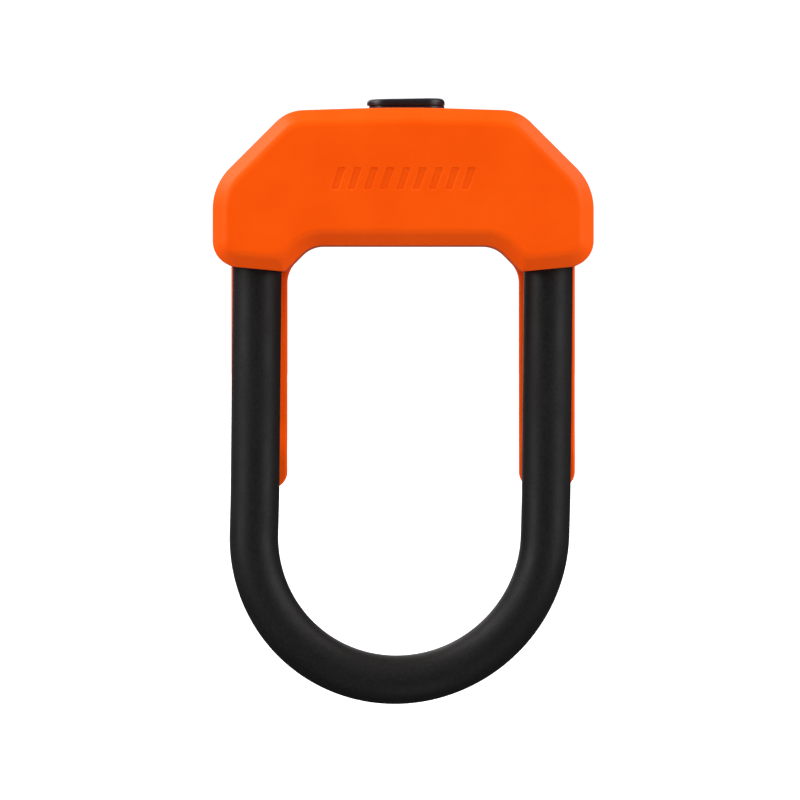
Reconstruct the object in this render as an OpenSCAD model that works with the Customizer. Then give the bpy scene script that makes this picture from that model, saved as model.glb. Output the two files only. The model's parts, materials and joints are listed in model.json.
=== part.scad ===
// Compact clip-on U lock. Millimetres, +Z up, front of the lock towards -Y.
// The origin is the middle of the crossbar's underside, in the plane of the shackle legs.
// The lock is drawn closed with its bolts drawn back, so the shackle can be pulled out.

/* [Shackle] */
// Clear width between the coated legs
bay_w = 84; // [80:1:90]
// Clear height from the crossbar to the inside of the bow
bay_h = 142; // [125:1:160]
// Diameter of the hardened steel bar
steel_d = 13; // [12:0.5:13.5]
// Thickness of the soft coat on the bar
coat = 2; // [1.5:0.1:2]
// How far the steel legs reach above the crossbar's underside
leg_top = 22.4; // [22:0.1:22.6]

/* [Case] */
// Overall width of the case
case_w = 131.4; // [131:0.1:134]
// Height of the case above its underside
case_h = 47.8; // [47.6:0.05:49]
// Front face, measured forward from the leg plane
case_front = 18; // [17.8:0.1:20]
// Back face, measured back from the leg plane
case_back = 20.5; // [20.2:0.1:22]
// Wall of the moulded covers
wall = 2.4; // [2:0.1:2.5]
// How far the feet hang below the underside
foot_drop = 9.06; // [8.5:0.05:10]
// Width of the soft bevel round the front face
front_bevel = 5; // [3:0.5:6]
// Width of the bevel round the back face
back_bevel = 2.6; // [1:0.2:3]

/* [Belt clips] */
// Width of a clip arm
clip_w = 19.6; // [18:0.2:20]
// Thickness of a clip arm
clip_t = 3.6; // [3:0.1:3.8]
// Lowest point of a clip arm, below the underside
clip_drop = 84.5; // [70:0.5:95]
// How far the arm bows towards the leg near its tip
clip_nip = 2; // [1:0.1:2.5]

/* [Lock] */
// Travel of each bolt
bolt_travel = 4.5; // [4:0.1:4.6]
// Diameter of each bolt
bolt_d = 11; // [10:0.5:11]
// Radius of the rotor that the key turns
rotor_r = 6.5; // [6.3:0.1:6.6]
// Number of coded discs in the rotor
disc_count = 7; // [5:1:7]

/* [Keyhole] */
// Length of the dust cover
cover_l = 27; // [26:0.2:28]
// Width of the dust cover
cover_w = 14; // [13.4:0.2:15]
// Height of the dust cover above the top of the case
cover_top = 3.8; // [3:0.1:5]

/* [Hidden] */
$fn = 96;
eps = 0.05;

// Shackle
steel_r = steel_d / 2;
sleeve_r = steel_r + coat;
leg_x = bay_w / 2 + sleeve_r;
bow_z = -(bay_h - bay_w / 2);
sleeve_top = 2.4;
sleeve_gap = 0.05;
tip_chamfer = 1;

// Case outline, right half: [x, z, corner radius], from the underside round to the crown
half_w = case_w / 2;
diagonal = 86.5;
crown_r = 600;
shoulder_z = 46.5;
underside_half = 32;
right_corners = [
    [underside_half, 0, 10],
    [leg_x - sleeve_r - 1.1, -foot_drop, 1.5],
    [half_w, -foot_drop + 2.36, 9],
    [half_w, diagonal - half_w, 20],
    [diagonal - shoulder_z, shoulder_z, 14]
];
crown = [[0, case_h, crown_r]];
corner_steps = 8;
bevel_steps = 5;
bevel_slope = 0.9;

// Steel crossbar and its bores
steel_bottom = 3;
steel_top = 30;
steel_half_d = 15;
steel_end = 61;
steel_diagonal = diagonal - 4.8;
steel_edge = 2.5;
cavity_floor = steel_bottom - 0.1;
leg_bore_r = steel_r + 0.2;
seal_r = sleeve_r + 2.2;
seal_low = -5;
seal_high = -0.8;
bolt_z = 12.5;
bolt_r = bolt_d / 2;
channel_r = bolt_r + 0.1;
bolt_tip = leg_x - steel_r - 0.9;
bolt_root = 2;
bolt_flat = 3.5;
bolt_flat_l = 15;
notch_depth = 4.4;
notch_half = bolt_r + 0.4;
plug_x = leg_x + leg_bore_r + 0.3;

// Scroll cam: the groove radius grows evenly as the rotor turns
cam_turn = 90;
cam_r = 12.2;
pin_r = 1.5;
pin_rest = 5;
groove_half = pin_r + 0.2;
groove_steps = 18;
cam_bottom = bolt_z + bolt_flat + 0.4;
cam_groove = 3;
cam_top = cam_bottom + 5.2;
cam_bore_r = 12.5;
tail_side = 6;

// Lock cylinder
washer_t = 0.7;
housing_bottom = cam_top + washer_t + 0.1;
housing_top = 44.8;
housing_r = 11;
rotor_gap = 0.08;
rotor_bottom = housing_bottom + 0.3;
rotor_top = 44.2;
rotor_flange_r = 8;
rotor_flange_h = 1.4;
disc_bore_r = 5.2;
disc_r = 5;
disc_t = 1.5;
spacer_t = 0.6;
stack_bottom = 27;
face_t = 2;
keyway_w = 2.6;
keyway_l = 8;
sidebar_w = 2;
sidebar_in = 4.2;
sidebar_out = 6.2;
sidebar_l = disc_count * disc_t + (disc_count - 1) * spacer_t;
guard_l = 44;
guard_w = 26;
guard_top = steel_top + 2.5;
guard_screw_x = 17.5;
guard_screw_r = 2;
guard_screw_l = 6.5;
guard_head_r = 3.3;
guard_head_h = 1.7;
hex_socket_r = 1.3;
pin_x = 12;
pin_z = 26;
housing_pin_r = 1.5;

// Keyhole; its surround and cover reach further over the rivet's side
crown_z = case_h - 0.29;
cap_x = 0.9;
stadium_half = (cover_l - cover_w) / 2;
bezel_flange_r = cover_w / 2 - 0.1;
bezel_neck_r = 6;
bezel_low = 45;
bezel_seat = crown_z - 0.6;
bezel_top = crown_z + 1;
keyhole_r = 4.6;
rivet_x = 9.9;
rivet_r = 1.2;
rivet_head_r = 2;
rivet_head_h = 0.5;
cover_low = bezel_top + 0.35;

// Belt clips
bead_r = 3.2;
bead_y = 15.3;
bead_z = -1.2;
clip_x = leg_x - 0.3;
clip_inner = clip_x - clip_w / 2;
gusset_r = 10;
gusset_gap = 0.45;
nip_start = 60;
nip_length = 24;
clip_corner = 6;
clip_steps = 30;

// Screws
cover_screws_at = [[20, 39], [37, 37]];
boss_r = 3.6;
screw_r = 1.3;
screw_hole_r = 1.7;
screw_head_r = 2.8;
screw_head_h = 2.4;
screw_seat = 12;
screw_socket_r = 1.1;
back_boss_r = boss_r + 0.8;

// ---- outline helpers: corners run anticlockwise, with the inside on their left ----

function unit(v) = v / norm(v);
function left_of(v) = [-v[1], v[0]];
function xz(c) = [c[0], c[1]];
function mirror_x(corners) = [for (i = [len(corners) - 1 : -1 : 0])
    [-corners[i][0], corners[i][1], corners[i][2]]];

// The arc that rounds corner q between its neighbours p and r, moved in by inset
function corner_arc(p, q, r, radius, inset) =
    let (n1 = left_of(unit(q - p)), n2 = left_of(unit(r - q)),
         turn = atan2(n1[0] * n2[1] - n1[1] * n2[0], n1 * n2),
         side = turn > 0 ? 1 : -1,
         arc_r = max(radius - side * inset, 0.3),
         mid = (n1 + n2) / (1 + n1 * n2),
         centre = q + mid * (inset + side * arc_r),
         start = atan2(-side * n1[1], -side * n1[0]))
    [for (i = [0 : corner_steps])
        centre + arc_r * [cos(start + turn * i / corner_steps),
                          sin(start + turn * i / corner_steps)]];

function rounded(corners, inset = 0) =
    let (n = len(corners))
    [for (i = [0 : n - 1])
        each corner_arc(xz(corners[(i + n - 1) % n]), xz(corners[i]),
                        xz(corners[(i + 1) % n]), corners[i][2], inset)];

case_corners = concat(right_corners, crown, mirror_x(right_corners));
shoulders = [right_corners[3], right_corners[4]];
cavity_corners = concat([[half_w, cavity_floor - wall, 5]], shoulders, crown,
                        mirror_x(shoulders), [[-half_w, cavity_floor - wall, 5]]);

// A closed solid through rings of equal length; every ring is [y, outline points]
module lofted(rings) {
    n = len(rings[0][1]);
    points = [for (ring = rings) each [for (p = ring[1]) [p[0], ring[0], p[1]]]];
    sides = [for (k = [0 : len(rings) - 2]) each [for (i = [0 : n - 1])
        let (j = (i + 1) % n, a = k * n, b = a + n)
        each [[a + i, a + j, b + j], [a + i, b + j, b + i]]]];
    front = [[for (i = [n - 1 : -1 : 0]) i]];
    back = [[for (i = [0 : n - 1]) (len(rings) - 1) * n + i]];
    polyhedron(points = points, faces = concat(front, sides, back), convexity = 8);
}

// Half of the case, from the parting plane out to its bevelled face at y
module case_half(y, bevel) {
    out = y > 0 ? 1 : -1;
    rounds = [for (i = [0 : bevel_steps])
        let (t = 90 * i / bevel_steps)
        [y - out * bevel * bevel_slope * (1 - cos(t)), bevel * (1 - sin(t))]];
    rings = concat([for (r = rounds) [r[0], rounded(case_corners, r[1])]],
                   [[0, rounded(case_corners)]]);
    ordered = out < 0 ? rings : [for (i = [len(rings) - 1 : -1 : 0]) rings[i]];
    lofted(ordered);
}

// ---- placing helpers ----

module both_sides() {
    children();
    mirror([1, 0, 0]) children();
}

// A front outline drawn in x, z, filling from y = near to y = far
module slab(near, far) {
    translate([0, far, 0]) rotate([90, 0, 0]) linear_extrude(far - near) children();
}

module rod_y(x, z, r, near, far) {
    translate([x, far, z]) rotate([90, 0, 0]) cylinder(r = r, h = far - near);
}

module rod_x(y, z, r, near, far) {
    translate([near, y, z]) rotate([0, 90, 0]) cylinder(r = r, h = far - near);
}

module rod_z(x, y, r, low, high) {
    translate([x, y, low]) cylinder(r = r, h = high - low);
}

module ring_z(r_out, r_in, low, high) {
    difference() {
        rod_z(0, 0, r_out, low, high);
        rod_z(0, 0, r_in, low - 1, high + 1);
    }
}

module stadium(r) {
    union() {
        for (side = [-1, 1]) translate([cap_x + side * stadium_half, 0]) circle(r);
        translate([cap_x, 0]) square([2 * stadium_half, 2 * r], center = true);
    }
}

module stadium_z(r, low, high) {
    translate([0, 0, low]) linear_extrude(high - low) stadium(r);
}

// ---- covers ----

module leg_openings() {
    both_sides() {
        rod_z(leg_x, 0, sleeve_r + 0.3, -foot_drop - 1, steel_bottom + 1);
        rod_z(leg_x, 0, seal_r, seal_low, seal_high);
    }
}

module case_cavity(near, far) {
    slab(near, far) polygon(rounded(cavity_corners, wall));
}

module bezel_opening() {
    stadium_z(bezel_neck_r + eps, bezel_low - 1, crown_z + 2);
    stadium_z(bezel_flange_r + eps, bezel_seat - eps, crown_z + 2);
}

// Plain slanted bars sunk into the front face
module front_motif() {
    bars = 9;
    pitch = 5.6;
    half_w = 1.4;
    half_h = 3.8;
    half_lean = 1.3;
    sink = 0.4;
    middle_z = 22.9;
    for (i = [0 : bars - 1])
        translate([(i - (bars - 1) / 2) * pitch, 0, middle_z])
            slab(-case_front - 1, -case_front + sink)
                polygon([[-half_w - half_lean, -half_h], [half_w - half_lean, -half_h],
                         [half_w + half_lean, half_h], [-half_w + half_lean, half_h]]);
}

module front_cover() color("orangered") {
    inner = -case_front + wall;
    difference() {
        case_half(-case_front, front_bevel);
        case_cavity(inner, 1);
        leg_openings();
        bezel_opening();
        front_motif();
    }
    both_sides() for (at = cover_screws_at)
        difference() {
            rod_y(at[0], at[1], boss_r, inner - eps, 0);
            rod_y(at[0], at[1], screw_r, inner + 1.5, 1);
        }
}

// Room for a clip's bead and arm, wider behind the arm so that it can flex
module clip_room() {
    slot_w = clip_w + 0.6;
    front_gap = 0.4;
    flex_gap = 1.5;
    both_sides() {
        rod_x(bead_y, bead_z, bead_r + 0.3, clip_x - slot_w / 2, clip_x + slot_w / 2);
        translate([clip_x - slot_w / 2, bead_y - clip_t / 2 - front_gap, -foot_drop - 1])
            cube([slot_w, clip_t + front_gap + flex_gap, foot_drop + 1 + bead_z]);
    }
}

module back_cover() color("orangered") {
    inner = case_back - wall;
    difference() {
        union() {
            difference() {
                case_half(case_back, back_bevel);
                case_cavity(-1, inner);
            }
            both_sides() for (at = cover_screws_at)
                rod_y(at[0], at[1], back_boss_r, 0, inner + eps);
        }
        leg_openings();
        bezel_opening();
        clip_room();
        both_sides() for (at = cover_screws_at) {
            rod_y(at[0], at[1], screw_hole_r, -1, case_back + 1);
            rod_y(at[0], at[1], screw_head_r + 0.3, screw_seat, case_back + 1);
        }
    }
}

module cover_screws() color("silver") {
    both_sides() for (at = cover_screws_at)
        difference() {
            union() {
                rod_y(at[0], at[1], screw_r, -screw_seat, screw_seat + eps);
                rod_y(at[0], at[1], screw_head_r, screw_seat, screw_seat + screw_head_h);
            }
            rod_y(at[0], at[1], screw_socket_r, screw_seat + 0.8, screw_seat + screw_head_h + 1,
                  $fn = 6);
        }
}

// ---- steel crossbar and what is fixed in it ----

module crossbar_body() color("dimgray") {
    half = [[-steel_end, steel_bottom], [steel_end, steel_bottom],
            [steel_end, steel_diagonal - steel_end], [steel_diagonal - steel_top, steel_top],
            [steel_top - steel_diagonal, steel_top], [-steel_end, steel_diagonal - steel_end]];
    d = steel_half_d;
    e = steel_edge;
    section = [[-d + e, steel_bottom], [d - e, steel_bottom], [d, steel_bottom + e],
               [d, steel_top - e], [d - e, steel_top], [-d + e, steel_top],
               [-d, steel_top - e], [-d, steel_bottom + e]];
    difference() {
        intersection() {
            slab(-d, d) polygon(half);
            translate([-steel_end - 1, 0, 0]) rotate([90, 0, 90])
                linear_extrude(2 * steel_end + 2) polygon(section);
        }
        both_sides() rod_z(leg_x, 0, leg_bore_r, steel_bottom - 1, leg_top + 0.4);
        rod_x(0, bolt_z, channel_r, -steel_end - 1, steel_end + 1);
        rod_z(0, 0, cam_bore_r, cam_bottom - 0.2, steel_top + 1);
        rod_y(pin_x, pin_z, housing_pin_r, -d - 1, d + 1);
        both_sides()
            rod_z(guard_screw_x, 0, guard_screw_r, steel_top - guard_screw_l - 0.5, steel_top + 1);
    }
}

module end_plug() {
    rod_x(0, bolt_z, channel_r - 0.02, plug_x, steel_end - 0.2);
}

module right_end_plug() color("gray") end_plug();

module left_end_plug() color("gray") mirror([1, 0, 0]) end_plug();

module housing_pin() color("silver") {
    rod_y(pin_x, pin_z, housing_pin_r - 0.02, 0.5 - steel_half_d, steel_half_d - 0.5);
}

module cylinder_housing() color("goldenrod") {
    difference() {
        union() {
            rod_z(0, 0, cam_bore_r - 0.05, housing_bottom, steel_top - 0.1);
            rod_z(0, 0, housing_r, steel_top - 0.2, housing_top);
        }
        rod_z(0, 0, rotor_r + rotor_gap, housing_bottom - 1, housing_top + 1);
        rod_z(0, 0, rotor_flange_r + rotor_gap, housing_bottom - 1,
              rotor_bottom + rotor_flange_h + 0.2);
        rod_y(pin_x, pin_z, housing_pin_r, -steel_half_d, steel_half_d);
        // groove that the sidebar springs into when the lock is shut
        translate([-rotor_r - 1, -sidebar_w / 2 - 0.1, stack_bottom - 0.2])
            cube([2, sidebar_w + 0.2, sidebar_l + 0.4]);
    }
}

module guard_plate() color("slategray") {
    difference() {
        translate([-guard_l / 2, -guard_w / 2, steel_top])
            cube([guard_l, guard_w, guard_top - steel_top]);
        rod_z(0, 0, housing_r + 0.1, steel_top - 1, guard_top + 1);
        both_sides()
            rod_z(guard_screw_x, 0, guard_screw_r + 0.2, steel_top - 1, guard_top + 1);
    }
}

module guard_screws() color("silver") {
    both_sides() difference() {
        union() {
            rod_z(guard_screw_x, 0, guard_screw_r - 0.02, steel_top - guard_screw_l,
                  guard_top + eps);
            rod_z(guard_screw_x, 0, guard_head_r, guard_top, guard_top + guard_head_h);
        }
        rod_z(guard_screw_x, 0, hex_socket_r, guard_top + 0.5, guard_top + 3, $fn = 6);
    }
}

module cam_washer() color("gold") {
    ring_z(cam_r - 0.2, rotor_flange_r - 0.5, cam_top + eps, cam_top + washer_t);
}

module leg_seal() {
    translate([leg_x, 0, 0])
        ring_z(seal_r - eps, sleeve_r + 0.3, seal_low + eps, seal_high - eps);
}

module right_leg_seal() color("black") leg_seal();

module left_leg_seal() color("black") mirror([1, 0, 0]) leg_seal();

module rattle_pad() color("darkslategray") {
    half_l = 48;
    low = steel_bottom + 3;
    high = steel_top - 4;
    near = steel_half_d + eps;
    far = case_back - wall - eps;
    translate([-half_l, near, low]) cube([2 * half_l, far - near, high - low]);
}

module keyhole_bezel() color("black") {
    difference() {
        union() {
            stadium_z(bezel_neck_r, bezel_low, bezel_seat + eps);
            stadium_z(bezel_flange_r, bezel_seat, bezel_top);
        }
        rod_z(0, 0, keyhole_r, bezel_low - 1, bezel_top + 1);
        rod_z(rivet_x, 0, rivet_r, bezel_low - 1, bezel_top + 1);
    }
}

// ---- what the key turns ----

module keyway_cut(low, high) {
    translate([-keyway_w / 2, -keyway_l / 2, low]) cube([keyway_w, keyway_l, high - low]);
}

module lock_rotor() color("khaki") {
    difference() {
        union() {
            rod_z(0, 0, rotor_r, rotor_bottom, rotor_top);
            rod_z(0, 0, rotor_flange_r, rotor_bottom, rotor_bottom + rotor_flange_h);
            rod_z(0, 0, tail_side, cam_top + 0.1, rotor_bottom + eps);
            translate([-tail_side / 2, -tail_side / 2, cam_bottom + cam_groove + 0.3])
                cube([tail_side, tail_side, 4]);
        }
        rod_z(0, 0, disc_bore_r, stack_bottom - 0.1, rotor_top + 1);
        translate([-sidebar_w / 2 - eps, 0, stack_bottom - 0.1])
            cube([sidebar_w + 2 * eps, rotor_r + 1, sidebar_l + 0.2]);
    }
}

module keyway_face() color("dimgray") {
    difference() {
        rod_z(0, 0, disc_bore_r - 0.02, rotor_top - face_t, rotor_top);
        keyway_cut(rotor_top - face_t - 1, rotor_top + 1);
    }
}

module disc_at(low, thickness, gate) {
    difference() {
        rod_z(0, 0, disc_r, low, low + thickness);
        keyway_cut(low - 1, low + thickness + 1);
        translate([-sidebar_w / 2 - 0.1, gate, low - 1]) cube([sidebar_w + 0.2, 3, thickness + 2]);
    }
}

module lock_discs() color("goldenrod") {
    for (i = [0 : disc_count - 1])
        disc_at(stack_bottom + i * (disc_t + spacer_t), disc_t, sidebar_in - 0.1);
}

module disc_spacers() color("silver") {
    for (i = [0 : disc_count - 2])
        disc_at(stack_bottom + i * (disc_t + spacer_t) + disc_t + 0.05, spacer_t - 0.1,
                sidebar_in - 0.1);
}

module sidebar() color("silver") {
    translate([-sidebar_w / 2, sidebar_in, stack_bottom])
        cube([sidebar_w, sidebar_out - sidebar_in, sidebar_l]);
}

function groove_r(turn) = pin_rest + bolt_travel * turn / cam_turn;
function groove_point(turn) = groove_r(turn) * [cos(turn), -sin(turn)];
function groove_normal(turn) =
    let (grow = bolt_travel / cam_turn * 180 / PI, r = groove_r(turn))
    unit(left_of([grow * cos(turn) - r * sin(turn), -grow * sin(turn) - r * cos(turn)]));
function groove_side(side) = [for (i = [0 : groove_steps])
    let (turn = cam_turn * i / groove_steps)
    groove_point(turn) + side * groove_half * groove_normal(turn)];
function reversed(points) = [for (i = [len(points) - 1 : -1 : 0]) points[i]];

module scroll_groove() {
    union() {
        polygon(concat(groove_side(1), reversed(groove_side(-1))));
        translate(groove_point(0)) circle(groove_half);
        translate(groove_point(cam_turn)) circle(groove_half);
    }
}

module drive_cam() color("darkgoldenrod") {
    socket = tail_side + 0.1;
    difference() {
        rod_z(0, 0, cam_r, cam_bottom, cam_top);
        for (side = [0, 180]) rotate([0, 0, side]) translate([0, 0, cam_bottom - 1])
            linear_extrude(cam_groove + 1) scroll_groove();
        translate([-socket / 2, -socket / 2, cam_bottom + cam_groove + 0.2])
            cube([socket, socket, 6]);
    }
}

// ---- bolts ----

module bolt() {
    difference() {
        union() {
            rod_x(0, bolt_z, bolt_r, bolt_root, bolt_tip - tip_chamfer);
            translate([bolt_tip - tip_chamfer, 0, bolt_z]) rotate([0, 90, 0])
                cylinder(r1 = bolt_r, r2 = bolt_r - tip_chamfer, h = tip_chamfer);
        }
        translate([bolt_root - 1, -bolt_r - 1, bolt_z + bolt_flat])
            cube([bolt_flat_l + 1, bolt_d + 2, bolt_r]);
        rod_z(pin_rest, 0, pin_r, bolt_z - 1, bolt_z + bolt_r + 1);
    }
}

module bolt_pin() {
    rod_z(pin_rest, 0, pin_r - 0.02, bolt_z - 0.9, cam_bottom + cam_groove - 0.3);
}

module right_bolt() color("silver") bolt();

module left_bolt() color("silver") mirror([1, 0, 0]) bolt();

module right_bolt_pin() color("gray") bolt_pin();

module left_bolt_pin() color("gray") mirror([1, 0, 0]) bolt_pin();

// ---- shackle ----

module bow() {
    translate([0, 0, bow_z]) rotate([90, 0, 0]) rotate([0, 0, 180])
        rotate_extrude(angle = 180) translate([leg_x, 0]) children();
}

module shackle_core() color("lightsteelblue") {
    difference() {
        union() {
            bow() circle(steel_r);
            both_sides() {
                rod_z(leg_x, 0, steel_r, bow_z, leg_top - tip_chamfer);
                translate([leg_x, 0, leg_top - tip_chamfer])
                    cylinder(r1 = steel_r, r2 = steel_r - tip_chamfer, h = tip_chamfer);
            }
        }
        both_sides() translate([leg_x - steel_r - 1, -steel_d, bolt_z - notch_half])
            cube([notch_depth + 1, 2 * steel_d, 2 * notch_half]);
    }
}

module sleeve_section() {
    difference() {
        circle(sleeve_r);
        circle(steel_r + sleeve_gap);
    }
}

module shackle_sleeve() color("#232222") {
    bow() sleeve_section();
    both_sides() translate([leg_x, 0, bow_z]) linear_extrude(sleeve_top - bow_z) sleeve_section();
}

// ---- dust cover ----

module dust_cover() color("black") {
    rim = 1.2;
    low = cover_low;
    high = crown_z + cover_top;
    difference() {
        union() {
            stadium_z(cover_w / 2, low, high - rim);
            hull() {
                stadium_z(cover_w / 2, high - rim - eps, high - rim);
                stadium_z(cover_w / 2 - rim, high - eps, high);
            }
        }
        rod_z(rivet_x, 0, rivet_r + 0.08, low - 1, high + 1);
        rod_z(rivet_x, 0, rivet_head_r + 0.2, high - rivet_head_h - 0.2, high + 1);
    }
}

module dust_cover_rivet() color("silver") {
    head_top = crown_z + cover_top - 0.1;
    rod_z(rivet_x, 0, rivet_r - 0.02, bezel_low + 0.4, head_top - rivet_head_h);
    rod_z(rivet_x, 0, rivet_head_r, head_top - rivet_head_h, head_top);
}

module wave_washer() color("silver") {
    translate([rivet_x, 0, 0])
        ring_z(2.6, rivet_r + 0.1, bezel_top + eps, cover_low - eps);
}

// ---- belt clips ----

function nip(drop) = drop < nip_start ? 0
    : clip_nip * pow(sin(180 * (drop - nip_start) / nip_length), 2);
function clip_face(side) = [for (i = [0 : clip_steps])
    let (drop = (clip_drop + 2) * i / clip_steps)
    [bead_y - nip(drop) + side * clip_t / 2, bead_z - drop]];

module clip_outline() {
    low = -clip_drop;
    arm = [[clip_w / 2, low, clip_corner], [clip_w / 2, 4, 0.5],
           [-clip_w / 2, 4, 0.5], [-clip_w / 2, low, clip_corner]];
    polygon(rounded(arm));
}

// The arm's inner edge sweeps up under the foot's slope in a concave curve
module clip_gusset() {
    run = right_corners[1][0] - underside_half;
    slope = unit([run, -foot_drop]);
    outward = [slope[1], -slope[0]];
    corner = [clip_inner, -(clip_inner - underside_half) * foot_drop / run];
    reach = gusset_r * tan((90 - atan(foot_drop / run)) / 2);
    tip = corner - reach * slope;
    foot = corner - [0, reach];
    gap = outward * gusset_gap;
    difference() {
        polygon([tip + gap, foot, foot + [1, 0], corner + [1, 0] + gap, corner + gap]);
        translate(tip + gusset_r * outward) circle(gusset_r);
    }
}

module clip() {
    reach = 10;
    rod_x(bead_y, bead_z, bead_r, clip_inner, clip_inner + clip_w);
    intersection() {
        translate([clip_inner - reach, 0, 0]) rotate([90, 0, 90])
            linear_extrude(clip_w + 2 * reach)
                polygon(concat(clip_face(-1), reversed(clip_face(1))));
        slab(0, case_back + 10) {
            translate([clip_x, 0]) clip_outline();
            clip_gusset();
        }
    }
}

module right_clip() color("orangered") clip();

module left_clip() color("orangered") mirror([1, 0, 0]) clip();

front_cover();
back_cover();
crossbar_body();
left_end_plug();
right_end_plug();
cylinder_housing();
housing_pin();
guard_plate();
guard_screws();
cover_screws();
left_leg_seal();
right_leg_seal();
rattle_pad();
cam_washer();
keyhole_bezel();
lock_rotor();
keyway_face();
lock_discs();
disc_spacers();
sidebar();
drive_cam();
left_bolt();
right_bolt();
left_bolt_pin();
right_bolt_pin();
shackle_core();
shackle_sleeve();
dust_cover();
dust_cover_rivet();
wave_washer();
left_clip();
right_clip();
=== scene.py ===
"""Looks for a compact clip-on U lock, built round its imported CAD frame. Metres, +Z up."""

import json
import math

import bmesh
import bpy
from mathutils import Matrix, Vector


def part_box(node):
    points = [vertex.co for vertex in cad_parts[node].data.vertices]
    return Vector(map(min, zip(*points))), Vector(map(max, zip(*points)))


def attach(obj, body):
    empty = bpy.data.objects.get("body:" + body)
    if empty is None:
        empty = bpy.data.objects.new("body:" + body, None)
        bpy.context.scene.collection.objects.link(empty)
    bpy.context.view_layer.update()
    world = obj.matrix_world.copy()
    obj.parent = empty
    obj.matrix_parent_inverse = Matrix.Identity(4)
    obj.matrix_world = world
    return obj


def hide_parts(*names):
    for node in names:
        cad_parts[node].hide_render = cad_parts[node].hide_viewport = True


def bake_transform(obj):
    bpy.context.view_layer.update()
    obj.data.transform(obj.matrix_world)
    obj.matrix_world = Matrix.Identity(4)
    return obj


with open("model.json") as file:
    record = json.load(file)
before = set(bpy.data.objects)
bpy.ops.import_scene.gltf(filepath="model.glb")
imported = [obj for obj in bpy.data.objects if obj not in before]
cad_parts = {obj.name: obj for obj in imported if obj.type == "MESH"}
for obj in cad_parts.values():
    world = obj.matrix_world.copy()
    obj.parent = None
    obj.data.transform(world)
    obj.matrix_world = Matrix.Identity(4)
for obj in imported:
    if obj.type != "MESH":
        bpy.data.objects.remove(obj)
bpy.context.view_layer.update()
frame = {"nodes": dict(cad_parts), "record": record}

MM = 0.001

# ---- sizes read from the frame ----

case_low, case_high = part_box("front_cover")
back_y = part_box("back_cover")[1].y
front_y = case_low.y
half_w = case_high.x
foot_z = case_low.z
crown_z = case_high.z

sleeve_low, sleeve_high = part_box("shackle_sleeve")
sleeve_r = sleeve_high.y
leg_x = sleeve_high.x - sleeve_r
bow_z = sleeve_low.z + leg_x + sleeve_r
sleeve_top = sleeve_high.z

core_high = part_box("shackle_core")[1]
steel_r = core_high.y
leg_top = core_high.z

clip_low, clip_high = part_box("right_clip")
cover_low, cover_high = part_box("dust_cover")
bezel_low, bezel_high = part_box("keyhole_bezel")
washer_low, washer_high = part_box("wave_washer")
seal_low, seal_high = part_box("right_leg_seal")
screws_low, screws_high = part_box("cover_screws")
rivet_low, rivet_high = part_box("dust_cover_rivet")
bolt_z = (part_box("right_bolt")[0].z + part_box("right_bolt")[1].z) / 2

# ---- sizes of the moulded parts ----

wall = 2.4 * MM
underside_half = 32 * MM
foot_inner_x = leg_x - sleeve_r - 1.1 * MM
foot_rise = 2.36 * MM
diagonal = 86.5 * MM
shoulder_z = 46.5 * MM
crown_r = 600 * MM
crown_peak = crown_z + 0.29 * MM

front_bevel_w = 4.6 * MM
front_bevel_d = 4.2 * MM
back_bevel_w = 2.6 * MM
back_bevel_d = 2.4 * MM
seam = 0.25 * MM
bore_gap = 0.3 * MM
fit = 0.05 * MM
lip = 0.5 * MM


# ---- outline helpers: corners run anticlockwise in x, z, with the inside on their left ----

def left_of(v):
    return Vector((-v.y, v.x))


def corner_arc(p, q, r, radius, inset, steps):
    """The arc that rounds corner q between its neighbours p and r, moved in by inset.

    A tight corner grows rounder as it moves in, so bevels meet in a soft blend."""
    n1, n2 = left_of((q - p).normalized()), left_of((r - q).normalized())
    turn = math.atan2(n1.x * n2.y - n1.y * n2.x, n1.dot(n2))
    side = 1 if turn > 0 else -1
    arc_r = max(radius - side * inset, 0.2 * MM + 0.8 * inset)
    centre = q + (n1 + n2) / (1 + n1.dot(n2)) * (inset + side * arc_r)
    start = math.atan2(-side * n1.y, -side * n1.x)
    angles = [start + turn * i / steps for i in range(steps + 1)]
    return [centre + arc_r * Vector((math.cos(a), math.sin(a))) for a in angles]


def rounded(corners, inset=0.0, steps=14):
    """A closed outline through corners (x, z, radius), moved in by inset."""
    places = [Vector(c[:2]) for c in corners]
    n = len(corners)
    points = []
    for i, corner in enumerate(corners):
        points += corner_arc(places[i - 1], places[i], places[(i + 1) % n], corner[2], inset, steps)
    return points


def mirrored(corners):
    return [(-x, z, r) for x, z, r in reversed(corners)]


def rounded_path(points, radii, steps=8):
    """An open path with its inner corners rounded."""
    places = [Vector(p) for p in points]
    path = [places[0]]
    for i, radius in enumerate(radii, 1):
        path += corner_arc(places[i - 1], places[i], places[i + 1], radius, 0, steps)
    return path + [places[-1]]


right_side = [
    (underside_half, 0, 10 * MM),
    (foot_inner_x, foot_z, 1.5 * MM),
    (half_w, foot_z + foot_rise, 9 * MM),
    (half_w, diagonal - half_w, 20 * MM),
    (diagonal - shoulder_z, shoulder_z, 14 * MM),
]
case_corners = right_side + [(0, crown_peak, crown_r)] + mirrored(right_side)
floor_corner = (half_w, 0.5 * MM, 5 * MM)
cavity_corners = [floor_corner] + right_side[3:] + [(0, crown_peak, crown_r)]
cavity_corners += mirrored(right_side[3:]) + mirrored([floor_corner])


# ---- mesh helpers ----

def new_object(name, mesh):
    obj = bpy.data.objects.new(name, mesh)
    bpy.context.scene.collection.objects.link(obj)
    return obj


def finish_mesh(bm, name):
    bmesh.ops.remove_doubles(bm, verts=bm.verts, dist=0.002 * MM)
    bmesh.ops.dissolve_degenerate(bm, edges=bm.edges, dist=0.001 * MM)
    bmesh.ops.recalc_face_normals(bm, faces=bm.faces)
    mesh = bpy.data.meshes.new(name)
    bm.to_mesh(mesh)
    bm.free()
    return mesh


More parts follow.
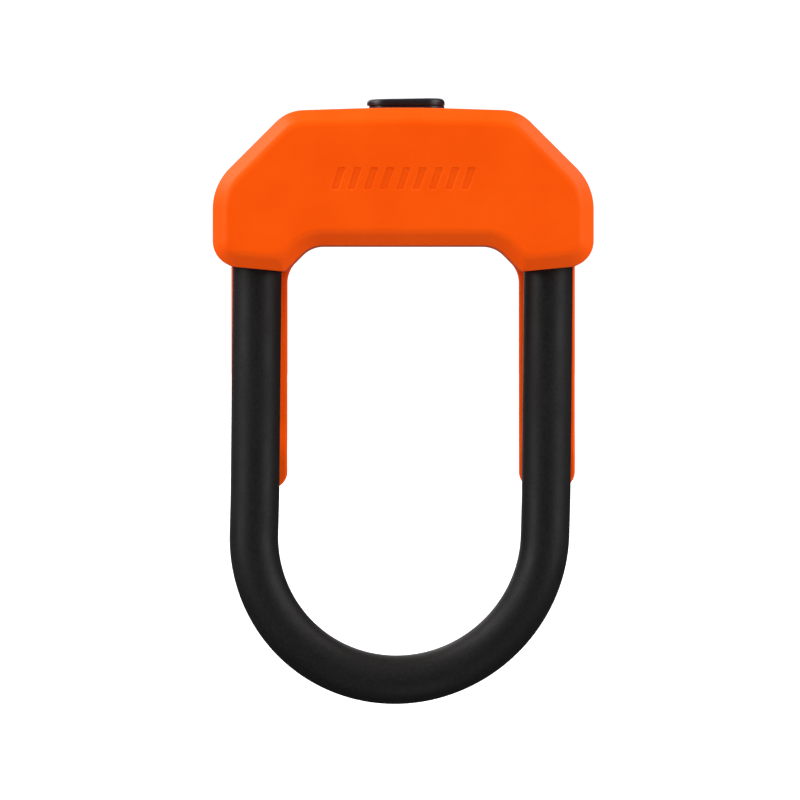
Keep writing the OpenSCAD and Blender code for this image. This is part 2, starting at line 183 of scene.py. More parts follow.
def loft(name, rings, closed=False):
    """A solid through rings of equal length; closed joins the last ring to the first."""
    bm = bmesh.new()
    rows = [[bm.verts.new(p) for p in ring] for ring in rings]
    n = len(rows[0])
    pairs = list(zip(rows, rows[1:])) + ([(rows[-1], rows[0])] if closed else [])
    for a, b in pairs:
        for i in range(n):
            j = (i + 1) % n
            bm.faces.new((a[i], a[j], b[j], b[i]))
    if not closed:
        bm.faces.new(reversed(rows[0]))
        bm.faces.new(rows[-1])
    return new_object(name, finish_mesh(bm, name))


def stadium_ring(r, half, z, steps=28):
    ring = []
    for side in (1, -1):
        for i in range(steps + 1):
            a = math.pi * (i / steps - 0.5) + (0 if side > 0 else math.pi)
            ring.append(Vector((side * half + r * math.cos(a), r * math.sin(a), z)))
    return ring


def turned(name, profile, half=0.0, place=Matrix.Identity(4)):
    """A round or stadium-shaped solid; profile is (radius, height) pairs from the bottom up."""
    rings = [[place @ p for p in stadium_ring(r, half, z)] for r, z in profile]
    return loft(name, rings)


def along_y(x, z):
    """Places a turned solid with its height along +Y at x, z."""
    return Matrix.Translation((x, 0, z)) @ Matrix.Rotation(math.radians(-90), 4, "X")


def fillet(r, z, size, steps=5):
    """Profile points that round the upper rim of a solid of radius r and height z."""
    angles = [math.radians(90) * i / steps for i in range(steps + 1)]
    return [(r - size * (1 - math.cos(a)), z - size * (1 - math.sin(a))) for a in angles]


def baked(obj):
    """Applies an object's modifiers to its mesh."""
    depsgraph = bpy.context.evaluated_depsgraph_get()
    mesh = bpy.data.meshes.new_from_object(obj.evaluated_get(depsgraph), depsgraph=depsgraph)
    obj.modifiers.clear()
    obj.data = mesh
    bm = bmesh.new()
    bm.from_mesh(mesh)
    bmesh.ops.remove_doubles(bm, verts=bm.verts, dist=0.002 * MM)
    bmesh.ops.dissolve_degenerate(bm, edges=bm.edges, dist=0.001 * MM)
    bm.to_mesh(mesh)
    bm.free()
    return obj


def combine(obj, others, operation):
    for other in others:
        modifier = obj.modifiers.new("combine", "BOOLEAN")
        modifier.operation = operation
        modifier.solver = "EXACT"
        modifier.object = other
    baked(obj)
    for other in others:
        bpy.data.objects.remove(other)
    return obj


def cut(obj, *cutters):
    return combine(obj, cutters, "DIFFERENCE")


def join_on(obj, *others):
    return combine(obj, others, "UNION")


def smooth(obj, angle=30):
    mesh = obj.data
    mesh.shade_smooth()
    mesh.set_sharp_from_angle(angle=math.radians(angle))
    modifier = obj.modifiers.new("normals", "WEIGHTED_NORMAL")
    modifier.keep_sharp = True
    return obj


def block(name, low, high):
    corners = [Vector((x, y, 0)) for x, y in
               ((low[0], low[1]), (high[0], low[1]), (high[0], high[1]), (low[0], high[1]))]
    rings = [[c + Vector((0, 0, z)) for c in corners] for z in (low[2], high[2])]
    return loft(name, rings)


def slab(name, outline, near, far):
    return loft(name, [[Vector((p.x, y, p.y)) for p in outline] for y in (near, far)])


# ---- material helpers ----

def node(tree, kind, inputs=None, **settings):
    """Adds a node; each input is a value or another node's output."""
    made = tree.nodes.new(kind)
    for key, value in settings.items():
        setattr(made, key, value)
    for key, value in (inputs or {}).items():
        if isinstance(value, bpy.types.NodeSocket):
            tree.links.new(value, made.inputs[key])
        else:
            made.inputs[key].default_value = value
    return made


def material(name):
    made = bpy.data.materials.new(name)
    made.use_nodes = True
    tree = made.node_tree
    where = tree.nodes.new("ShaderNodeTexCoord").outputs["Object"]
    return made, tree, tree.nodes["Principled BSDF"], where


def noise(tree, where, scale, detail=2.0, roughness=0.5):
    made = node(tree, "ShaderNodeTexNoise",
                {"Vector": where, "Scale": scale, "Detail": detail, "Roughness": roughness})
    return made.outputs["Fac"]


def ramp(tree, value, low, high, start=0.0, end=1.0):
    """Maps value from start..end to low..high, without going past them."""
    made = node(tree, "ShaderNodeMapRange",
                {"Value": value, "From Min": start, "From Max": end, "To Min": low, "To Max": high})
    return made.outputs["Result"]


def blend_colour(tree, share, a, b):
    made = node(tree, "ShaderNodeMix", data_type="RGBA")
    tree.links.new(share, made.inputs["Factor"])
    for key, value in (("A", a), ("B", b)):
        socket = [s for s in made.inputs if s.name == key and s.type == "RGBA"][0]
        if isinstance(value, bpy.types.NodeSocket):
            tree.links.new(value, socket)
        else:
            socket.default_value = value
    return [s for s in made.outputs if s.type == "RGBA"][0]


def bump(tree, height, distance, strength=1.0, under=None):
    inputs = {"Height": height, "Distance": distance, "Strength": strength}
    if under is not None:
        inputs["Normal"] = under
    return node(tree, "ShaderNodeBump", inputs).outputs["Normal"]


def edge_mask(tree, radius, start, end):
    """1 along convex edges, 0 on flat stretches."""
    soft = node(tree, "ShaderNodeBevel", {"Radius": radius}, samples=4).outputs["Normal"]
    true = node(tree, "ShaderNodeNewGeometry").outputs["Normal"]
    dot = node(tree, "ShaderNodeVectorMath", {0: soft, 1: true}, operation="DOT_PRODUCT")
    return ramp(tree, dot.outputs["Value"], 1.0, 0.0, start, end)


def linear(r, g, b):
    """An sRGB colour of 0-255 as linear RGBA."""
    def one(v):
        v = v / 255
        return v / 12.92 if v <= 0.04045 else ((v + 0.055) / 1.055) ** 2.4
    return (one(r), one(g), one(b), 1.0)


def nylon(name, colour, deep, worn, roughness, specular):
    """Moulded nylon: spark-eroded grain, faint flow marks, rubbed edges and a warm gloss."""
    made, tree, shader, where = material(name)
    flow = noise(tree, where, 45, 3)
    speck = noise(tree, where, 1400, 2)
    base = blend_colour(tree, ramp(tree, flow, 0, 1, 0.35, 0.65), deep, colour)
    base = blend_colour(tree, ramp(tree, speck, 0, 0.25, 0.5, 0.8), base, deep)
    edges = edge_mask(tree, 0.7 * MM, 0.86, 0.97)
    patchy = node(tree, "ShaderNodeMath", {0: edges, 1: ramp(tree, flow, 0.1, 0.7, 0.4, 0.6)},
                  operation="MULTIPLY")
    base = blend_colour(tree, patchy.outputs[0], base, worn)
    grain = bump(tree, noise(tree, where, 2600, 2), 0.02 * MM, 0.4)
    waves = bump(tree, noise(tree, where, 180, 2), 0.05 * MM, 0.2, under=grain)
    tree.links.new(base, shader.inputs["Base Color"])
    tree.links.new(ramp(tree, flow, roughness - 0.05, roughness + 0.05, 0.3, 0.7),
                   shader.inputs["Roughness"])
    tree.links.new(waves, shader.inputs["Normal"])
    shader.inputs["Specular IOR Level"].default_value = specular
    warm = (1, 0.75, 0.35, 1)
    shader.inputs["Specular Tint"].default_value = warm
    return made


def soft_coat(name, colour, deep, roughness, specular, grain_size=1100):
    """Dipped soft plastic: fine mottled grain and a dull, patchy sheen."""
    made, tree, shader, where = material(name)
    mottle = noise(tree, where, grain_size, 3, 0.6)
    patches = noise(tree, where, 60, 3)
    base = blend_colour(tree, ramp(tree, mottle, 0, 1, 0.35, 0.65), deep, colour)
    fine = bump(tree, mottle, 0.06 * MM, 0.6)
    broad = bump(tree, patches, 0.15 * MM, 0.25, under=fine)
    tree.links.new(base, shader.inputs["Base Color"])
    tree.links.new(ramp(tree, patches, roughness - 0.07, roughness + 0.07, 0.3, 0.7),
                   shader.inputs["Roughness"])
    tree.links.new(broad, shader.inputs["Normal"])
    shader.inputs["Specular IOR Level"].default_value = specular
    return made


def metal(name, colour, tarnish, roughness, stretch):
    """Worked metal: fine lines along one way, faint tarnish and small scratches."""
    made, tree, shader, where = material(name)
    mapping = node(tree, "ShaderNodeMapping", {"Vector": where, "Scale": stretch})
    lines = noise(tree, mapping.outputs["Vector"], 900, 3, 0.6)
    patches = noise(tree, where, 90, 4, 0.6)
    scratches = noise(tree, mapping.outputs["Vector"], 260, 1)
    base = blend_colour(tree, ramp(tree, patches, 0, 0.8, 0.45, 0.75), colour, tarnish)
    base = blend_colour(tree, ramp(tree, lines, 0, 0.25, 0.4, 0.7), base, tarnish)
    fine = bump(tree, lines, 0.01 * MM, 0.5)
    rough = node(tree, "ShaderNodeMath",
                 {0: ramp(tree, scratches, -0.06, 0.1, 0.35, 0.7),
                  1: ramp(tree, patches, roughness - 0.03, roughness + 0.09, 0.3, 0.7)},
                 operation="ADD")
    tree.links.new(base, shader.inputs["Base Color"])
    tree.links.new(rough.outputs[0], shader.inputs["Roughness"])
    tree.links.new(fine, shader.inputs["Normal"])
    shader.inputs["Metallic"].default_value = 1.0
    return made


materials = {
    "case": nylon("case_nylon", linear(239, 81, 0), linear(235, 76, 0), linear(255, 108, 28),
                  0.4, 0.18),
    # The clips are the same nylon as the case; their colours are painted lighter to make up for the
    # shade the legs cast on them.
    "clip": nylon("clip_nylon_painted_lighter", linear(255, 84, 0), linear(250, 79, 0), linear(255, 106, 28),
                  0.42, 0.18),
    "sleeve": soft_coat("shackle_coat", linear(24, 22, 22), linear(15, 13, 14), 0.55, 0.27),
    "black_plastic": soft_coat("black_nylon", linear(30, 26, 30), linear(20, 17, 20), 0.36, 0.34,
                               grain_size=1800),
    "hardened_steel": metal("hardened_steel", linear(150, 152, 156), linear(96, 96, 100), 0.32,
                            (1, 1, 0.08)),
    "bright_steel": metal("zinc_plated_steel", linear(206, 207, 210), linear(160, 158, 150), 0.26,
                          (1, 0.1, 1)),
    "brass": metal("machined_brass", linear(214, 180, 104), linear(150, 116, 60), 0.27,
                   (1, 1, 0.15)),
    "seal_rubber": soft_coat("seal_rubber", linear(30, 30, 30), linear(20, 20, 20), 0.65, 0.3),
}


def dress(obj, body, slot, *nodes):
    """Gives a new piece its finish and its body, and hides the CAD nodes that it stands for."""
    obj.data.materials.clear()
    obj.data.materials.append(materials[slot])
    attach(obj, body)
    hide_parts(*nodes)
    return obj


# ---- case ----

def bevel_rings(near, towards, width, depth, sharp, soft):
    """Rings of the case outline from the bevelled face at near to the parting plane."""
    run = 8 * MM
    path = rounded_path([(width + run, 0), (width, 0), (0, depth), (0, depth + run)],
                        [soft, sharp])[1:-1]
    sections = [(p.x, near + towards * p.y) for p in path]
    sections += [(0, -towards * seam), (seam, -towards * 0.02 * MM)]
    return [[Vector((q.x, y, q.y)) for q in rounded(case_corners, inset)]
            for inset, y in sections]


def bore(r, depth, place, half=0.0, rim=lip):
    """A cutter for a bore with a rounded mouth; place puts its height along the way in."""
    past, steps = 3 * MM, 6
    angles = [math.radians(90) * i / steps for i in range(steps + 1)]
    mouth = [(r + rim * (1 - math.sin(a)), rim * (1 - math.cos(a))) for a in angles]
    return turned("bore", [(r + rim, -past)] + mouth + [(r, depth)], half, place)


def leg_cutters(side):
    """An upright bore for a coated leg, its rounded mouth square to the slanted foot, and the
    groove for its seal."""
    slope = math.atan(foot_rise / (half_w - foot_inner_x))
    mouth_z = foot_z + (leg_x - foot_inner_x) * math.tan(slope)
    tilted = Matrix.Translation((side * leg_x, 0, mouth_z)) @ Matrix.Rotation(-side * slope, 4, "Y")
    upright = Matrix.Translation((side * leg_x, 0, 0))
    r, seal_r = sleeve_r + bore_gap, (seal_high.x - seal_low.x) / 2 + fit
    mouth_depth, past, top_z = 1 * MM, 3 * MM, 5 * MM
    return [bore(r, mouth_depth, tilted),
            turned("hole", [(r, foot_z - past), (r, top_z)], place=upright),
            turned("groove", [(seal_r, seal_low.z - fit), (seal_r, seal_high.z + fit)],
                   place=upright)]


def cavity(near, far):
    """Room for the works, one wall in from the outline between two depths."""
    return slab("cavity", rounded(cavity_corners, wall), near, far)


def downwards(x, z):
    """Places a cutter with its height running down from x, z."""
    return Matrix.Translation((x, 0, z)) @ Matrix.Rotation(math.pi, 4, "X")


def bezel_bore():
    """The opening in the crown for the keyhole surround."""
    gap, depth, rim = 0.1 * MM, 6 * MM, 0.3 * MM
    return bore(bezel_r + gap, depth, downwards(cap_x, crown_z - fit), stadium_half, rim)


def motif_cutters():
    """Plain slanted bars sunk into the front face."""
    bars, pitch, half_bar, half_h, half_lean = 9, 5.6 * MM, 1.4 * MM, 3.8 * MM, 1.3 * MM
    sink, draft, middle_z = 0.4 * MM, 0.12 * MM, 22.9 * MM
    made = []
    for i in range(bars):
        x = (i - (bars - 1) / 2) * pitch
        corners = [(x - half_bar - half_lean, middle_z - half_h, 0.5 * MM),
                   (x + half_bar - half_lean, middle_z - half_h, 0.5 * MM),
                   (x + half_bar + half_lean, middle_z + half_h, 0.5 * MM),
                   (x - half_bar + half_lean, middle_z + half_h, 0.5 * MM)]
        sections = [(-4 * draft, front_y - 3 * sink), (-draft, front_y - 0.01 * MM),
                    (0, front_y + 0.5 * sink), (draft, front_y + 0.9 * sink),
                    (3 * draft, front_y + sink)]
        made.append(loft("bar", [[Vector((q.x, y, q.y)) for q in rounded(corners, inset, 4)]
                                 for inset, y in sections]))
    return made


def front_shell():
    shell = loft("front_shell", bevel_rings(front_y, 1, front_bevel_w, front_bevel_d,
                                            sharp=0.6 * MM, soft=4 * MM))
    cut(shell, cavity(front_y + wall, 1 * MM), bezel_bore())
    cut(shell, *leg_cutters(1), *leg_cutters(-1))
    cut(shell, *motif_cutters())
    bosses = [turned("boss", [(boss_r, front_y + wall - 0.1 * MM), (boss_r, -0.1 * MM)],
                     place=along_y(x, z)) for x, z in screw_places()]
    join_on(shell, *bosses)
    return dress(smooth(shell), "crossbar", "case", "front_cover")


def clip_slot(side):
    """Room for a clip's bead and arm in the foot, and for its gusset under the slope."""
    near, far = arm_y - clip_t / 2 - 0.4 * MM, arm_y + clip_t / 2 + 1.5 * MM
    low_z, high_z = foot_z - 2 * MM, bead_z + 2 * MM
    x_in, x_out = side * (arm_inner - bore_gap), side * (arm_outer + bore_gap)
    gusset_x, shared = side * (gusset_tip.x - 0.8 * MM), 0.1 * MM
    main = block("slot", (min(x_in, x_out), near, low_z), (max(x_in, x_out), far, high_z))
    wedge = block("slot", (min(gusset_x, x_in) - shared, near, low_z),
                  (max(gusset_x, x_in) + shared, far - 1 * MM, high_z))
    return [main, wedge, bead("pocket", bead_r + bore_gap, (x_in, x_out))]


def back_shell():
    shell = loft("back_shell", bevel_rings(back_y, -1, back_bevel_w, back_bevel_d,
                                           sharp=0.5 * MM, soft=2 * MM))
    cut(shell, cavity(-1 * MM, back_y - wall))
    bosses = [turned("boss", [(boss_r + 0.8 * MM, 0.1 * MM),
                              (boss_r + 0.8 * MM, back_y - wall + 0.1 * MM)],
                     place=along_y(x, z)) for x, z in screw_places()]
    join_on(shell, *bosses)
    cut(shell, bezel_bore(), *leg_cutters(1), *leg_cutters(-1))
    cut(shell, *clip_slot(1), *clip_slot(-1))
    for x, z in screw_places():
        place = Matrix.Translation((x, back_y, z)) @ Matrix.Rotation(math.radians(90), 4, "X")
        cut(shell, bore(screw_head_r + 0.3 * MM, back_y - screw_seat, place),
            turned("hole", [(screw_hole_r, -2 * MM), (screw_hole_r, back_y)],
                   place=along_y(x, z)))
    return dress(smooth(shell), "crossbar", "case", "back_cover")


# ---- screws in the back ----

screw_head_r = 2.8 * MM
screw_seat = 12 * MM
screw_top = screws_high.y
screw_hole_r = 1.7 * MM
boss_r = 3.6 * MM
inner_screw_x = 20 * MM


def screw_places():
    outer_x, outer_z = screws_high.x - screw_head_r, screws_low.z + screw_head_r
    inner_z = screws_high.z - screw_head_r
    return [(side * x, z) for side in (1, -1)
            for x, z in ((inner_screw_x, inner_z), (outer_x, outer_z))]


def hex_socket(place, top):
    """The cutter for a hexagon socket with a flared mouth in a screw's head."""
    hex_r, mouth_r, depth = 1.25 * MM, 1.7 * MM, 1.6 * MM
    levels = ((hex_r, top - depth), (hex_r, top - 0.15 * MM), (mouth_r, top + 0.3 * MM))
    angles = [math.radians(60 * k) for k in range(6)]
    return loft("socket", [[place @ Vector((r * math.cos(a), r * math.sin(a), y)) for a in angles]
                           for r, y in levels])


def cover_screw(x, z):
    """A button-head screw from the back, its tip and head edges eased."""
    place = along_y(x, z)
    shank_r, tip_r, crown_flat_r, ease, dome = 1.3 * MM, 1.1 * MM, 1.5 * MM, 0.2 * MM, 0.9 * MM
    profile = [(tip_r, -screw_seat), (shank_r, 2 * ease - screw_seat), (shank_r, screw_seat),
               (screw_head_r - ease, screw_seat), (screw_head_r, screw_seat + ease)]
    profile += fillet(screw_head_r, screw_top - ease, dome) + [(crown_flat_r, screw_top)]
    return cut(turned("cover_screw", profile, place=place), hex_socket(place, screw_top))


def merged(name, objects):
    bm = bmesh.new()
    for obj in objects:
        bm.from_mesh(obj.data)
        bpy.data.objects.remove(obj)
    return new_object(name, finish_mesh(bm, name))


def cover_screws():
    made = merged("cover_screws_set", [cover_screw(x, z) for x, z in screw_places()])
    return dress(smooth(made), "crossbar", "bright_steel", "cover_screws")


# ---- shackle ----

def shackle_line(top, leg_step=3 * MM, bow_steps=72):
    """Centres and outward directions along the shackle, from the right leg's top to the left's."""
    count = max(2, round((top - bow_z) / leg_step))
    heights = [top + (bow_z - top) * i / count for i in range(count)]
    stations = [(Vector((leg_x, 0, z)), Vector((1, 0, 0))) for z in heights]
    for i in range(bow_steps + 1):
        a = math.pi * i / bow_steps
        out = Vector((math.cos(a), 0, -math.sin(a)))
        stations.append((Vector((0, 0, bow_z)) + leg_x * out, out))
    stations += [(Vector((-leg_x, 0, z)), Vector((-1, 0, 0))) for z in reversed(heights)]
    return stations


def tube_ring(centre, out, r, steps=80):
    side = Vector((0, 1, 0))
    angles = [2 * math.pi * i / steps for i in range(steps)]
    return [centre + r * (math.cos(a) * out + math.sin(a) * side) for a in angles]


def end_rings(station, r, size, steps=5):
    """Rings that round a leg's upper end over the last bit of its length, from below up."""
    centre, out = station
    rings = []
    for i in range(steps + 1):
        a = math.radians(90) * i / steps
        below = Vector((0, 0, size * (1 - math.sin(a))))
        rings.append(tube_ring(centre - below, out, r - size * (1 - math.cos(a))))
    return rings


def leaned(obj):
    """Lets the shackle lean by the play of its legs in their bores, its bow bent a little off."""
    play, pivot = math.radians(0.55), Vector((0, 0, 8 * MM))
    turn = Matrix.Translation(pivot) @ Matrix.Rotation(play, 4, "Y") @ Matrix.Translation(-pivot)
    obj.data.transform(turn)
    drift, start = 1.9 * MM, bow_z + 15 * MM
    for vertex in obj.data.vertices:
        down = max(0, start - vertex.co.z) / (start - sleeve_low.z)
        vertex.co.x -= drift * down ** 1.3
    return obj


def shackle_sleeve():
    line = shackle_line(sleeve_top)
    rim = 0.6 * MM
    outer = end_rings(line[0], sleeve_r, rim)[::-1]
    outer += [tube_ring(c, o, sleeve_r) for c, o in line[1:-1]]
    outer += end_rings(line[-1], sleeve_r, rim)
    inner = [tube_ring(c, o, steel_r + fit) for c, o in reversed(line)]
    sleeve = leaned(loft("shackle_coat", outer + inner, closed=True))
    return dress(smooth(sleeve), "shackle", "sleeve", "shackle_sleeve")


def tip_rings(station):
    """The chamfered tip of the steel bar, from its end face down."""
    centre, out = station
    chamfer = 1 * MM
    return [tube_ring(centre - Vector((0, 0, below)), out, steel_r - inset)
            for inset, below in ((chamfer, 0), (0.1 * chamfer, 0.9 * chamfer), (0, 1.2 * chamfer))]


def shackle_bar():
    """The steel bar, a little short of its bores' ends so that it can lean."""
    tip_room = 0.45 * MM
    line = shackle_line(leg_top - tip_room)
    rings = tip_rings(line[0])
    rings += [tube_ring(c, o, steel_r) for c, o in line[1:-1]]
    rings += tip_rings(line[-1])[::-1]
    bar = loft("shackle_bar", rings)
    cut(bar, notch(1), notch(-1))
    leaned(bar)
    return dress(smooth(bar), "shackle", "hardened_steel", "shackle_core")


def notch(side):
    """The notch that a bolt enters, tall enough for the shackle's lean, with chamfered lips."""
    depth, half, chamfer, past = 4.6 * MM, 6.5 * MM, 1.2 * MM, 1 * MM
    side_x = leg_x - steel_r
    widths = [(side_x + depth, half), (side_x + chamfer, half), (side_x - past, half + 1.25 * MM)]
    reach = 2 * steel_r
    rings = [[Vector((side * x, y, bolt_z + z)) for y, z in
              ((-reach, -h), (reach, -h), (reach, h), (-reach, h))] for x, h in widths]
    return loft("notch", rings)


# ---- belt clips ----

clip_w = 19.6 * MM
clip_t = 3.6 * MM
arm_outer = clip_high.x
arm_inner = arm_outer - clip_w
bead_r = 3.2 * MM
arm_y = clip_high.y - bead_r
bead_z = clip_high.z - bead_r
gusset_r = 10 * MM


def gusset_arc():
    """The centre and upper end of the curve from the foot's slope into the arm's inner edge."""
    start = Vector((underside_half, 0))
    slope = (Vector((foot_inner_x, foot_z)) - start).normalized()
    outward = Vector((slope.y, -slope.x))
    corner = start + slope * (arm_inner - underside_half) / slope.x
    reach = gusset_r * math.tan((math.radians(90) - math.atan2(-slope.y, slope.x)) / 2)
    tip = corner - slope * reach
    return tip + outward * gusset_r, tip, slope


gusset_centre, gusset_tip, foot_slope = gusset_arc()


def inner_edge(z):
    """The arm's inner edge at height z, with the gusset's sweep near the foot."""
    if z <= gusset_centre.y:
        return arm_inner
    if z <= gusset_tip.y:
        return gusset_centre.x + math.sqrt(gusset_r ** 2 - (z - gusset_centre.y) ** 2)
    inside = (z - gusset_tip.y) * (foot_slope.x / foot_slope.y + 1.4)
    return gusset_tip.x + inside


def nip(drop):
    """How far the arm bows towards the leg near its tip."""
    start, length, depth = 60 * MM, 24 * MM, 2 * MM
    return 0 if drop < start else depth * math.sin(math.pi * (drop - start) / length) ** 2


def arm_section(x_in, x_out, y, thick, edge, z):
    corners = [(x_in, y - thick / 2, edge), (x_out, y - thick / 2, edge),
               (x_out, y + thick / 2, edge), (x_in, y + thick / 2, edge)]
    return [Vector((p.x, p.y, z)) for p in rounded(corners, 0, 6)]


def arm_rows():
    """Heights of the arm's rings from its tip up, with what its rounded tip takes off each side."""
    low, corner, top = clip_low.z, 6 * MM, gusset_centre.y
    tip_steps, arm_steps, gusset_steps = 14, 36, 16
    rows = []
    for i in range(tip_steps + 1):
        a = math.radians(90) * i / tip_steps
        rows.append((low + corner * (1 - math.cos(a)), corner * (1 - math.sin(a))))
    for i in range(1, arm_steps + 1):
        rows.append((low + corner + (top - low - corner) * i / arm_steps, 0))
    for i in range(1, gusset_steps + 1):
        rows.append((top + (gusset_tip.y - top) * i / gusset_steps, 0))
    return rows + [(gusset_tip.y + 0.8 * MM, 0), (bead_z - 1 * MM, 0)]


def arm_rings(edge=0.9 * MM):
    """Sections of the right arm with rounded edges, thinned at the tip and bowed at the nip."""
    rings = []
    for z, off in arm_rows():
        rise = min(z - clip_low.z, edge)
        thick = clip_t - 2 * edge + 2 * math.sqrt(edge ** 2 - (edge - rise) ** 2)
        y = arm_y - nip(bead_z - z)
        radius = min(edge, thick / 2 - 0.05 * MM)
        x_in = min(inner_edge(z), arm_inner) + off
        rings.append(arm_section(x_in, arm_outer - off, y, thick, radius, z))
    return rings


def bead(name, r, x_ends):
    """A round bead along X at the clips' hinge, between its two ends."""
    turn = Matrix.Translation((0, arm_y, bead_z)) @ Matrix.Rotation(math.radians(90), 4, "Y")
    return turned(name, [(r, x) for x in sorted(x_ends)], place=turn)


def clip(side, name):
    """A belt clip, held by the bead in the foot."""
    arm = loft("arm", [[Vector((side * p.x, p.y, p.z)) for p in ring] for ring in arm_rings()])
    join_on(arm, bead("bead", bead_r, (side * arm_inner, side * arm_outer)))
    arm.name = name + "_belt_clip"
    body = name + "_clip"
    smooth(arm, 40)
    baked(arm)
    arm.data.materials.clear()
    arm.data.materials.append(materials["clip"])
    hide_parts(body)
    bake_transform(arm)


# ---- keyhole ----

bezel_r = bezel_high.y
cap_x = (bezel_low.x + bezel_high.x) / 2
stadium_half = bezel_high.x - cap_x - bezel_r
rivet_x = (rivet_low.x + rivet_high.x) / 2
rivet_head_r = (rivet_high.x - rivet_low.x) / 2
rivet_r = 1.18 * MM
rivet_place = Matrix.Translation((rivet_x, 0, 0))
cap_place = Matrix.Translation((cap_x, 0, 0))


def keyhole_bezel():
    seat = crown_z - 0.6 * MM
    neck_r = bezel_r - 0.5 * MM
    profile = [(neck_r, bezel_low.z), (neck_r, seat), (bezel_r, seat)]
    profile += fillet(bezel_r, bezel_high.z, 0.12 * MM)
    bezel = turned("keyhole_surround", profile, stadium_half, cap_place)
    draw_in(bezel, 0.09)
    key_r, key_depth, hole_r, past = 4.6 * MM, 8 * MM, 1.2 * MM, 1 * MM
    cut(bezel, bore(key_r, key_depth, downwards(0, bezel_high.z), rim=0.35 * MM),
        turned("hole", [(hole_r, bezel_low.z - past), (hole_r, bezel_high.z + past)],
               place=rivet_place))
    return dress(smooth(bezel), "crossbar", "black_plastic", "keyhole_bezel")


def draw_in(obj, share):
    """Shortens the end furthest from the rivet."""
    end_x = cap_x - stadium_half
    for vertex in obj.data.vertices:
        if vertex.co.x < end_x:
            vertex.co.x += (end_x - vertex.co.x) * share


def slope_top(obj, low, high):
    """Lets the cover's top fall gently away from the rivet."""
    fall = 0.45 * MM
    for vertex in obj.data.vertices:
        rise = (vertex.co.z - low) / (high - low)
        along = (cover_high.x - vertex.co.x) / (cover_high.x - cover_low.x)
        vertex.co.z -= fall * rise * along


def dust_cover():
    """The swivelling cover: a rounded lid with room for its rivet and the washer under it."""
    skirt, ease, rim_r = 0.22 * MM, 0.3 * MM, 1.6 * MM
    r, low, high = cover_high.y, cover_low.z - skirt, cover_high.z
    profile = [(r - ease, low), (r - 0.08 * MM, low + 0.08 * MM), (r, low + ease)]
    profile += fillet(r, high - 0.1 * MM, rim_r, steps=8)
    profile += [(r - 2.8 * MM, high - 0.04 * MM), (r - 5 * MM, high)]
    cover = turned("keyhole_dust_cover", profile, stadium_half, cap_place)
    slope_top(cover, low, high)
    washer_r = (washer_high.x - washer_low.x) / 2 + bore_gap
    head_r, head_depth, past = rivet_head_r + 0.15 * MM, 0.7 * MM, 1 * MM
    hole_r = rivet_r + 0.1 * MM
    cut(cover, bore(head_r, head_depth, downwards(rivet_x, high), rim=0.2 * MM),
        turned("hole", [(hole_r, low - past), (hole_r, high + past)], place=rivet_place),
        turned("recess", [(washer_r, low - past), (washer_r, washer_high.z + fit)],
               place=rivet_place))
    return dress(smooth(cover), "dust_cover", "black_plastic", "dust_cover")


def cover_rivet():
    head_low = cover_high.z - 0.6 * MM
    profile = [(rivet_r, rivet_low.z), (rivet_r, head_low), (rivet_head_r, head_low)]
    profile += fillet(rivet_head_r, rivet_high.z - 0.08 * MM, 0.3 * MM)
    profile += [(1.0 * MM, rivet_high.z - 0.02 * MM), (0.3 * MM, rivet_high.z)]
    rivet = turned("cover_rivet", profile, place=rivet_place)
    return dress(smooth(rivet), "crossbar", "bright_steel", "dust_cover_rivet")


# ---- the frame's own parts that stay ----

def dress_frame():
    for part in frame["record"]["subparts"]:
        mesh = frame["nodes"][part["node"]].data
        mesh.materials.clear()
        mesh.materials.append(materials[part["material_slot"]])


# ---- stage ----

def floor():
    side, top_z, thickness = 60, -0.215, 0.01
    made = block("floor", (-side, -side, top_z - thickness), (side, side, top_z))
    pale, tree, shader, where = material("floor")
    shade = ramp(tree, noise(tree, where, 3, 3), 0, 1, 0.3, 0.7)
    base = blend_colour(tree, shade, (0.93, 0.93, 0.93, 1), (0.95, 0.95, 0.95, 1))
    tree.links.new(base, shader.inputs["Base Color"])
    shader.inputs["Roughness"].default_value = 0.8
    shader.inputs["Specular IOR Level"].default_value = 0.1
    shader.inputs["Emission Color"].default_value = (1, 1, 1, 1)
    shader.inputs["Emission Strength"].default_value = 0.7
    made.data.materials.append(pale)
    made.visible_diffuse = made.visible_glossy = False


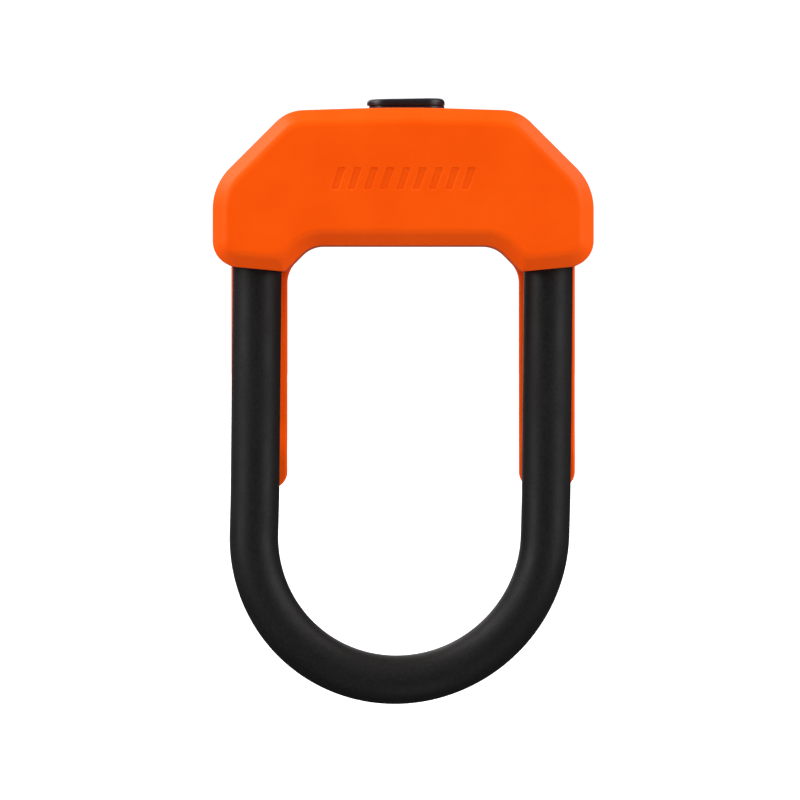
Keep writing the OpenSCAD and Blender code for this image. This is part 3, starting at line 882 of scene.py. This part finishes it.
def sky(seen, lit, reflected):
    """A white surround for the eye that lights the object more gently and is dim in reflections."""
    world = bpy.data.worlds.new("studio")
    bpy.context.scene.world = world
    world.use_nodes = True
    tree = world.node_tree
    background = tree.nodes["Background"]
    path = node(tree, "ShaderNodeLightPath").outputs
    unseen = ramp(tree, path["Is Glossy Ray"], lit, reflected)
    tree.links.new(ramp(tree, path["Is Camera Ray"], unseen, seen), background.inputs["Strength"])
    background.inputs["Color"].default_value = (1, 1, 1, 1)


def aimed(obj, place, target):
    obj.location = place
    obj.rotation_mode = "QUATERNION"
    obj.rotation_quaternion = (Vector(target) - Vector(place)).to_track_quat("-Z", "Y")
    bpy.context.scene.collection.objects.link(obj)
    return obj


def sun(name, from_point, strength, angle):
    light = bpy.data.lights.new(name, "SUN")
    light.energy = strength
    light.angle = math.radians(angle)
    aimed(bpy.data.objects.new(name, light), from_point, (0, 0, 0))


def panel(name, place, target, width, height, power):
    light = bpy.data.lights.new(name, "AREA")
    light.shape = "RECTANGLE"
    light.size, light.size_y = width, height
    light.energy = power
    obj = aimed(bpy.data.objects.new(name, light), place, target)
    obj.visible_camera = False


def lights():
    sky(seen=1.15, lit=0.62, reflected=0.08)
    sun("left_key", (-0.85, -0.49, 0.18), 1.15, 35)
    sun("right_key", (0.85, -0.49, 0.18), 1.35, 35)
    sun("low_fill", (0.1, -0.6, -0.78), 0.42, 50)
    sun("back_fill", (-0.2, 0.9, 0.5), 1.2, 60)
    panel("left_band", (-0.8, -0.1, 0.75), (0, 0, 0), 0.4, 0.7, 10.5)
    panel("right_band", (0.8, -0.1, 0.75), (0, 0, 0), 0.4, 0.7, 5.8)


def camera():
    """A long lens almost square to the front, set by how wide a field it sees at the lock."""
    distance, elevation, field = 2.2, 0.4, 277.6 * MM
    target = Vector((-1.1 * MM, 0, -53.4 * MM))
    made = bpy.data.cameras.new("camera")
    made.sensor_width = 36
    made.lens = made.sensor_width * distance / field
    made.clip_start, made.clip_end = 0.05, 200
    a = math.radians(elevation)
    place = target + distance * Vector((0, -math.cos(a), math.sin(a)))
    bpy.context.scene.camera = aimed(bpy.data.objects.new("camera", made), place, target)


dress_frame()
front_shell()
back_shell()
cover_screws()
shackle_sleeve()
shackle_bar()
keyhole_bezel()
dust_cover()
cover_rivet()
clip(1, "right")
clip(-1, "left")
floor()
lights()
camera()
bpy.context.scene.view_settings.view_transform = "Standard"
